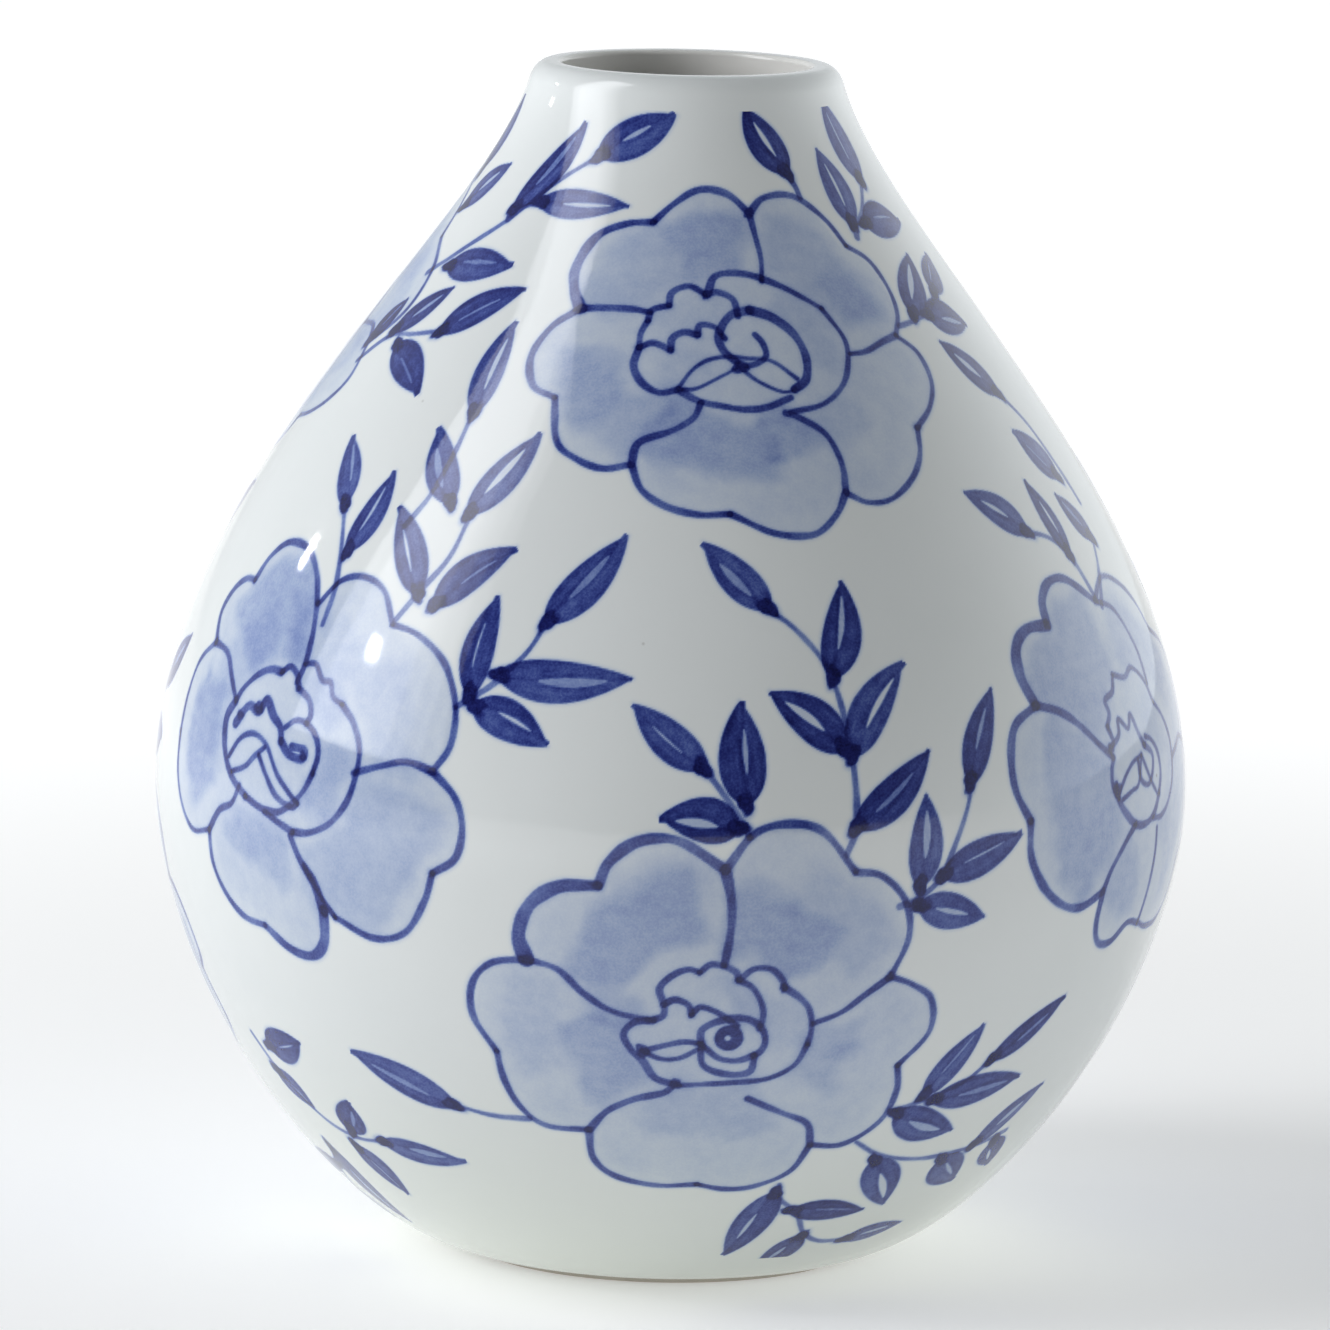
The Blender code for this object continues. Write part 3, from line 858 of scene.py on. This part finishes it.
def body_outline():
    """The whole skin: underside, outside, lip, inside and floor, with how wavy each point is."""
    seat = RING_RADIUS + SLIP_LINE
    outside = spaced(OUTER[OUTER[:, 1] > UNDERSIDE_HEIGHT + 0.001], OUTSIDE_STEP)
    top_radius = NECK_RADIUS - (HEIGHT - NECK_HEIGHT)
    lip_corner = (NECK_RADIUS - (HEIGHT - NECK_HEIGHT) * math.tan(NECK_LEAN), HEIGHT)
    lip = quarter_round((NECK_RADIUS, NECK_HEIGHT), lip_corner, (top_radius, HEIGHT), 14)
    mouth_edge = quarter_round(
        (MOUTH_RADIUS + LIP_INNER_ROUND, HEIGHT),
        (MOUTH_RADIUS, HEIGHT),
        (MOUTH_RADIUS, HEIGHT - LIP_INNER_ROUND),
        8,
    )
    wall = inset(OUTER, WALL)
    wall = wall[(wall[:, 1] > FLOOR_TOP) & (wall[:, 1] < THROAT_FOOT + THROAT_PULL)]
    foot = wall[wall[:, 1] < THROAT_FOOT][-1]
    throat_top = (MOUTH_RADIUS, THROAT_HEIGHT)
    throat = bezier(throat_top, (MOUTH_RADIUS, THROAT_HEIGHT - THROAT_PULL), wall[-1], foot, 10)
    inside = spaced(wall[wall[:, 1] < THROAT_FOOT][::-1], INSIDE_STEP)
    recess = np.array([(0.0, RECESS_HEIGHT), (seat, RECESS_HEIGHT)])
    corner, ease = (seat, UNDERSIDE_HEIGHT), 0.4
    run_out = 6.0  # how far inwards the foot of the wall runs out into the floor
    floor = np.array([tuple(wall[0]), (wall[0][0] - run_out, FLOOR_TOP), (0.0, FLOOR_TOP)])
    parts = [
        (spaced(recess, LEVEL_STEP), 0),
        (quarter_round((seat, UNDERSIDE_HEIGHT + ease), corner, (seat + ease, UNDERSIDE_HEIGHT), 4), 0),
        (outside, 1),
        (lip[1:], 0),
        (mouth_edge, 0),
        (throat, 0),
        (inside[1:], 0),
        (spaced(floor, LEVEL_STEP)[1:], 0),
    ]
    outline = np.vstack([points for points, _ in parts])
    wavy = np.concatenate([np.full(len(points), share) for points, share in parts])
    return outline, wavy


def foot_ring_outline():
    """Square-cut ring with worn corners."""
    top, inner, outer, worn = RING_HEIGHT, RING_INNER_RADIUS, RING_RADIUS, RING_WEAR
    cut = 0.2  # off each upper corner
    upper_corners = [(outer, top - cut), (outer - cut, top), (inner + cut, top), (inner, top - cut)]
    return np.vstack(
        [
            quarter_round((inner, worn), (inner, 0.0), (inner + worn, 0.0), 6),
            spaced(np.array([(inner + worn, 0.0), (outer - worn, 0.0)]), 0.7)[1:-1],
            quarter_round((outer - worn, 0.0), (outer, 0.0), (outer, worn), 6),
            np.array(upper_corners),
        ]
    )


# ---------------------------------------------------------------- materials


class Nodes:
    """A material, with short ways to add and join its shader nodes."""

    def __init__(self, name):
        self.material = bpy.data.materials.new(name)
        self.material.use_nodes = True
        self.tree = self.material.node_tree
        self.shader = self.tree.nodes["Principled BSDF"]
        self.place = self.add("ShaderNodeTexCoord").outputs["Object"]

    def add(self, kind, **settings):
        node = self.tree.nodes.new(kind)
        for setting, value in settings.items():
            setattr(node, setting, value)
        return node

    def put(self, value, socket):
        """Joins a socket, or sets a plain value."""
        if isinstance(value, bpy.types.NodeSocket):
            self.tree.links.new(value, socket)
        else:
            socket.default_value = value

    def noise(self, scale, detail):
        """Smooth random patches, from 0 to 1."""
        node = self.add("ShaderNodeTexNoise")
        self.put(self.place, node.inputs["Vector"])
        node.inputs["Scale"].default_value = scale
        node.inputs["Detail"].default_value = detail
        return node.outputs["Fac"]

    def cells(self, scale, *limits):
        """Small round spots, one in each cell of a random pattern."""
        node = self.add("ShaderNodeTexVoronoi", feature="F1")
        self.put(self.place, node.inputs["Vector"])
        node.inputs["Scale"].default_value = scale
        return self.between(node.outputs["Distance"], *limits)

    def between(self, value, low, high, to_low=0.0, to_high=1.0):
        """The value mapped from one range to another, and kept inside it."""
        node = self.add("ShaderNodeMapRange", interpolation_type="SMOOTHSTEP")
        self.put(value, node.inputs["Value"])
        limits = {"From Min": low, "From Max": high, "To Min": to_low, "To Max": to_high}
        for socket, number in limits.items():
            node.inputs[socket].default_value = number
        return node.outputs["Result"]

    def math(self, operation, first, second):
        node = self.add("ShaderNodeMath", operation=operation)
        self.put(first, node.inputs[0])
        self.put(second, node.inputs[1])
        return node.outputs["Value"]

    def mix(self, share, first, second, blend="MIX"):
        node = self.add("ShaderNodeMix", data_type="RGBA", blend_type=blend)
        self.put(share, node.inputs["Factor"])
        self.put(first, node.inputs["A"])
        self.put(second, node.inputs["B"])
        return node.outputs["Result"]

    def bump(self, height, distance, before=None):
        """Relief this many metres high, on top of an earlier one if there is one."""
        node = self.add("ShaderNodeBump")
        node.inputs["Distance"].default_value = distance
        self.put(height, node.inputs["Height"])
        if before is not None:
            self.put(before, node.inputs["Normal"])
        return node.outputs["Normal"]


COBALT_STOPS = (0.0, 0.05, 0.1, 0.18, 0.28, 0.4, 0.55, 0.7, 0.9, 1.1, 1.4, 1.8)


def through_cobalt(amount):
    """The share of red, green and blue light that comes back through that much cobalt."""
    red = math.exp(-3.15 * amount)
    green = math.exp(-(2.38 * amount + 0.35 * amount**2))
    blue = math.exp(-(0.82 * amount + 0.34 * amount**2))
    return (red, green, blue, 1.0)


def porcelain_white(nodes):
    """Colour of the bare glaze: cloudy, darker and greener towards the bottom, a lighter, warmer white
    inside as painted light, with rare specks.
    """
    cloudy = nodes.between(nodes.noise(22.0, 3.0), 0.35, 0.68)
    white = nodes.mix(cloudy, (0.755, 0.782, 0.777, 1.0), (0.730, 0.760, 0.755, 1.0))
    height = nodes.add("ShaderNodeSeparateXYZ")
    nodes.put(nodes.place, height.inputs["Vector"])
    # the white turns darker and greener towards the bottom of the vase
    towards_bottom = nodes.between(height.outputs["Z"], 0.055, 0.002)
    white = nodes.mix(nodes.math("MULTIPLY", towards_bottom, 0.75), white, (0.705, 0.745, 0.675, 1.0))

    # Where the surface faces the axis, it is the inside, which gets a lighter, warmer white than the
    # outside: painted light.
    outward = nodes.add("ShaderNodeVectorMath", operation="MULTIPLY")
    nodes.put(nodes.place, outward.inputs[0])
    outward.inputs[1].default_value = (1.0, 1.0, 0.0)
    facing = nodes.add("ShaderNodeVectorMath", operation="DOT_PRODUCT")
    nodes.put(outward.outputs["Vector"], facing.inputs[0])
    nodes.put(nodes.add("ShaderNodeNewGeometry").outputs["Normal"], facing.inputs[1])
    inner = nodes.between(facing.outputs["Value"], -0.004, -0.014)
    white = nodes.mix(inner, white, (0.83, 0.82, 0.785, 1.0))

    specks = nodes.cells(170.0, 0.075, 0.03)
    rare = nodes.between(nodes.noise(41.0, 1.0), 0.66, 0.70)
    specks = nodes.math("MULTIPLY", specks, rare)
    return nodes.mix(nodes.math("MULTIPLY", specks, 0.6), white, (0.20, 0.19, 0.17, 1.0))


def cobalt_blue(nodes):
    """What the painting lets through, from the amount of cobalt that the mesh carries."""
    amount = nodes.add("ShaderNodeAttribute", attribute_name="cobalt").outputs["Fac"]
    grains = nodes.between(nodes.noise(2600.0, 2.0), 0.3, 0.7, 0.90, 1.10)
    patches = nodes.between(nodes.noise(420.0, 3.0), 0.3, 0.7, 0.90, 1.10)
    amount = nodes.math("MULTIPLY", amount, nodes.math("MULTIPLY", grains, patches))
    amount = nodes.math("MULTIPLY", amount, nodes.cells(900.0, 0.03, 0.10, 0.80, 1.0))  # pinholes
    ramp = nodes.add("ShaderNodeValToRGB")
    strongest = COBALT_STOPS[-1]
    nodes.put(nodes.math("DIVIDE", amount, strongest), ramp.inputs["Fac"])
    stops = ramp.color_ramp.elements
    stops[0].color = through_cobalt(COBALT_STOPS[0])
    stops[1].color = through_cobalt(strongest)
    for stop in COBALT_STOPS[1:-1]:
        stops.new(stop / strongest).color = through_cobalt(stop)
    return ramp.outputs["Color"]


def make_glaze():
    """White porcelain under a clear glossy glaze. Where a mesh carries cobalt, it shows blue."""
    nodes = Nodes("painted_glaze")
    colour = nodes.mix(1.0, porcelain_white(nodes), cobalt_blue(nodes), blend="MULTIPLY")
    nodes.put(colour, nodes.shader.inputs["Base Color"])
    gloss = nodes.between(nodes.noise(30.0, 3.0), 0.3, 0.7, 0.045, 0.075)
    nodes.put(gloss, nodes.shader.inputs["Roughness"])
    nodes.shader.inputs["IOR"].default_value = 1.5
    slow = nodes.bump(nodes.noise(55.0, 1.0), 0.00010)
    fine = nodes.bump(nodes.noise(380.0, 2.0), 0.000012, before=slow)
    nodes.put(fine, nodes.shader.inputs["Normal"])
    return nodes.material


def make_biscuit():
    """Unglazed porcelain: dry, warm, and a little dirty where it stands."""
    nodes = Nodes("biscuit_porcelain")
    height = nodes.add("ShaderNodeSeparateXYZ")
    nodes.put(nodes.place, height.inputs["Vector"])
    clay = nodes.mix(nodes.noise(260.0, 4.0), (0.70, 0.66, 0.58, 1.0), (0.60, 0.55, 0.47, 1.0))
    at_ground = nodes.between(height.outputs["Z"], 0.0007, 0.0001)
    dirty = nodes.math("MULTIPLY", at_ground, nodes.noise(90.0, 3.0))
    clay = nodes.mix(nodes.math("MULTIPLY", dirty, 0.8), clay, (0.36, 0.33, 0.29, 1.0))
    nodes.put(clay, nodes.shader.inputs["Base Color"])
    dry = nodes.between(nodes.noise(400.0, 3.0), 0.3, 0.7, 0.62, 0.85)
    nodes.put(dry, nodes.shader.inputs["Roughness"])
    nodes.put(nodes.bump(nodes.noise(1500.0, 3.0), 0.00005), nodes.shader.inputs["Normal"])
    return nodes.material


# ---------------------------------------------------------------- floor, light and camera

WINDOW_AZIMUTH = -166.0
WINDOW_DISTANCE = 1.20
WINDOW_PANES = (  # place, width and radiance: a bright middle with softer sides
    (-0.29, 0.12, 3.0), (0.0, 0.46, 5.0), (0.28, 0.10, 3.5), (0.38, 0.10, 2.3), (0.48, 0.10, 1.1),
)
WINDOW_LOW_ELEVATION = 8.0
WINDOW_HIGH_ELEVATION = 59.0
DAYLIGHT = (0.955, 0.968, 1.0)
# Each lamp's azimuth, elevation and width.
LAMPS = (("lamp_left", -167.0, 23.0, 0.05), ("lamp_behind", 157.0, 22.0, 0.03))
LAMP_DISTANCE = 1.1
LAMP_HEIGHT = 0.045  # of the glowing rectangle
LAMP_RADIANCE = 60.0
ROOM_LIGHT = 0.07  # from everywhere
ROOM_TINT = (0.965, 1.0, 1.02, 1.0)
# Pale walls give more: the direction of each (across, back), how bright it is and how narrow.
ROOM_WALLS = ((-0.87, 0.5, 0.62, 3), (0.87, 0.5, 1.80, 3), (0.0, 1.0, 0.42, 2))
FLOOR_GLOW_NEAR = 0.30
FLOOR_GLOW_FAR = 0.69
FLOOR_GLOW_REACH = (0.16, 0.8)  # metres from the axis between which it rises
EYE_LEVEL = 0.100  # the lights are aimed at this height on the vase's axis


def make_floor():
    """A pale sweep of floor that glows a little, and more so away from the vase."""
    mesh = bpy.data.meshes.new("studio_floor")
    size = 12.0
    corners = [(-size, -size, 0.0), (size, -size, 0.0), (size, size, 0.0), (-size, size, 0.0)]
    mesh.from_pydata(corners, [], [(0, 1, 2, 3)])
    nodes = Nodes("studio_floor")
    nodes.shader.inputs["Base Color"].default_value = (0.86, 0.86, 0.85, 1.0)
    nodes.shader.inputs["Roughness"].default_value = 0.9
    nodes.shader.inputs["Emission Color"].default_value = (1.0, 1.0, 1.0, 1.0)
    distance = nodes.add("ShaderNodeVectorMath", operation="LENGTH")
    nodes.put(nodes.place, distance.inputs[0])
    glow = nodes.between(distance.outputs["Value"], *FLOOR_GLOW_REACH, FLOOR_GLOW_NEAR, FLOOR_GLOW_FAR)
    nodes.put(glow, nodes.shader.inputs["Emission Strength"])
    mesh.materials.append(nodes.material)
    floor = bpy.data.objects.new("studio_floor", mesh)
    bpy.context.scene.collection.objects.link(floor)


def aim(thing, target):
    """Turns a light so that it shines at the target."""
    away = thing.location - Vector(target)
    thing.rotation_euler = away.to_track_quat("Z", "Y").to_euler()


def soft_light(name, azimuth, elevation, distance, width, height, radiance, colour=(1.0, 1.0, 1.0)):
    """A glowing rectangle, equally bright all over, that still has to be aimed."""
    light = bpy.data.lights.new(name, "AREA")
    light.shape = "RECTANGLE"
    light.size = width
    light.size_y = height
    light.energy = radiance * math.pi * width * height
    light.color = colour
    lamp = bpy.data.objects.new(name, light)
    turn, lift = math.radians(azimuth), math.radians(elevation)
    lamp.location = (
        distance * math.cos(turn) * math.cos(lift),
        distance * math.sin(turn) * math.cos(lift),
        EYE_LEVEL + distance * math.sin(lift),
    )
    bpy.context.scene.collection.objects.link(lamp)
    return lamp


def make_lights():
    """A window made of panes side by side, and two small lamps."""
    low = WINDOW_DISTANCE * math.tan(math.radians(WINDOW_LOW_ELEVATION))
    high = WINDOW_DISTANCE * math.tan(math.radians(WINDOW_HIGH_ELEVATION))
    sideways = math.radians(WINDOW_AZIMUTH + 90.0)
    for number, (place, width, radiance) in enumerate(WINDOW_PANES):
        name = f"window_{number}"
        size = (width, high - low)
        pane = soft_light(name, WINDOW_AZIMUTH, 0.0, WINDOW_DISTANCE, *size, radiance, DAYLIGHT)
        pane.location.z = EYE_LEVEL + 0.5 * (low + high)
        aim(pane, (0.0, 0.0, pane.location.z))
        pane.location.x += place * math.cos(sideways)
        pane.location.y += place * math.sin(sideways)
    for name, azimuth, elevation, width in LAMPS:
        lamp = soft_light(name, azimuth, elevation, LAMP_DISTANCE, width, LAMP_HEIGHT, LAMP_RADIANCE)
        aim(lamp, (0.0, 0.0, EYE_LEVEL))


def light_room():
    """The rest of the room: an even dim light, and pale walls that reflect the window."""
    world = bpy.data.worlds.new("room")
    world.use_nodes = True
    tree = world.node_tree
    background = tree.nodes["Background"]
    background.inputs["Color"].default_value = ROOM_TINT
    direction = tree.nodes.new("ShaderNodeTexCoord").outputs["Generated"]

    def step(kind, operation, value, *numbers):
        """One node that takes a joined value and then plain numbers."""
        node = tree.nodes.new(kind)
        node.operation = operation
        tree.links.new(value, node.inputs[0])
        for place, number in enumerate(numbers, 1):
            node.inputs[place].default_value = number
        return node

    brightness = None
    for across, back, strength, narrowness in ROOM_WALLS:
        facing = step("ShaderNodeVectorMath", "DOT_PRODUCT", direction, (across, back, 0.0))
        kept = step("ShaderNodeMath", "MAXIMUM", facing.outputs["Value"], 0.0)
        narrowed = step("ShaderNodeMath", "POWER", kept.outputs["Value"], narrowness)
        added = step("ShaderNodeMath", "MULTIPLY_ADD", narrowed.outputs["Value"], strength, ROOM_LIGHT)
        if brightness is not None:
            tree.links.new(brightness, added.inputs[2])
        brightness = added.outputs["Value"]
    tree.links.new(brightness, background.inputs["Strength"])
    bpy.context.scene.world = world


CAMERA_AIM = (-0.00135, 0.0, 0.09836)
CAMERA_DISTANCE = 1.5
CAMERA_PITCH = math.radians(9.468)  # downwards
CAMERA_ROLL = math.radians(-1.314)
CAMERA_LENS = 241.58


def make_camera():
    """Looks straight at the vase along +Y, from a little above, and leans by the roll."""
    forward = Vector((0.0, math.cos(CAMERA_PITCH), -math.sin(CAMERA_PITCH)))
    level = Vector((1.0, 0.0, 0.0))
    upright = level.cross(forward)
    right = level * math.cos(CAMERA_ROLL) - upright * math.sin(CAMERA_ROLL)
    up = upright * math.cos(CAMERA_ROLL) + level * math.sin(CAMERA_ROLL)
    lens = bpy.data.cameras.new("camera")
    lens.lens = CAMERA_LENS
    lens.sensor_width = 36.0
    lens.clip_end = 60.0
    camera = bpy.data.objects.new("camera", lens)
    turn = Matrix((right, up, -forward)).transposed().to_4x4()
    camera.matrix_world = Matrix.Translation(Vector(CAMERA_AIM) - CAMERA_DISTANCE * forward) @ turn
    bpy.context.scene.collection.objects.link(camera)
    bpy.context.scene.camera = camera


# ---------------------------------------------------------------- putting it together


def build():
    bpy.context.scene.view_settings.view_transform = "Standard"
    make_camera()
    make_floor()
    make_lights()
    light_room()
    glaze = make_glaze()
    outline, wavy = body_outline()
    body = closed_turning("porcelain_body", outline, wavy, BODY_SEGMENTS, glaze)
    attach(body, "root")
    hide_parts("lower_body", "upper_body", "mouth_rim")
    foot = closed_turning("turned_foot_ring", foot_ring_outline(), None, RING_SEGMENTS, make_biscuit())
    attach(foot, "root")
    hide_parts("foot_ring")
    build_films(paint(), glaze)


build()
